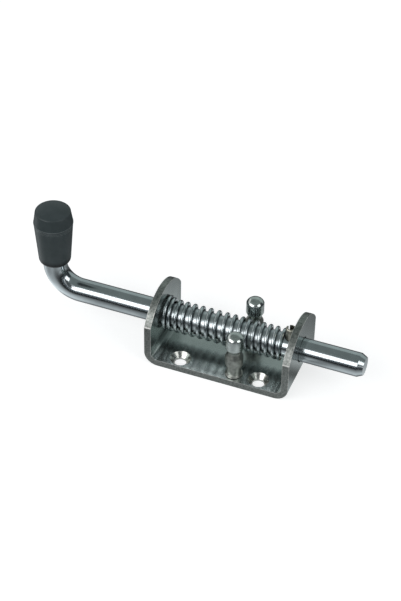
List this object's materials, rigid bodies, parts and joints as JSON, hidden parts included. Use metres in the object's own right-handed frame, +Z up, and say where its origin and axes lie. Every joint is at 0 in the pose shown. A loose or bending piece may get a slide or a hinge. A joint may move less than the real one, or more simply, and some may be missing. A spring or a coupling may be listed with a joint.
{
  "type": "spring-loaded bolt",
  "caption": "Round spring-loaded bolt in a folded bracket, with a bent handle and plastic grip; drawn back and turned, its cross pin catches behind two posts.",
  "frame": {"origin": "centre of the bracket's underside, on the surface that it is screwed to", "axes": "+X along the bar towards the bolt's tip, +Z up from the mounting surface towards the grip, +Y towards the rear post"},
  "size_m": [0.1734, 0.04, 0.065],
  "materials": {
    "zinc_sheet": "dull zinc-plated folded sheet",
    "post_steel": "turned steel, zinc plated",
    "zinc_bar": "bright zinc-plated drawn bar",
    "pin_steel": "bare brown-grey spring steel",
    "spring_steel": "glossy zinc-plated wire",
    "grip_plastic": "dark grey moulded plastic"
  },
  "bodies": {
    "base": {"bracket": "zinc_sheet", "front_post": "post_steel", "rear_post": "post_steel"},
    "coil": {"spring": "spring_steel"},
    "bolt": {"bolt_rod": "zinc_bar", "roll_pin": "pin_steel", "grip": "grip_plastic"}
  },
  "joints": [
    {"name": "bolt_turn", "type": "hinge", "parent": "base", "child": "coil", "pos_m": [0, 0, 0.0175], "axis": [1, 0, 0], "range_deg": [-90, 90]},
    {"name": "bolt_slide", "type": "slide", "parent": "coil", "child": "bolt", "axis": [-1, 0, 0], "range_m": [0, 0.0303], "stiffness_N_per_m": 1800, "springref_m": -0.012, "deforming": ["spring"]}
  ]
}
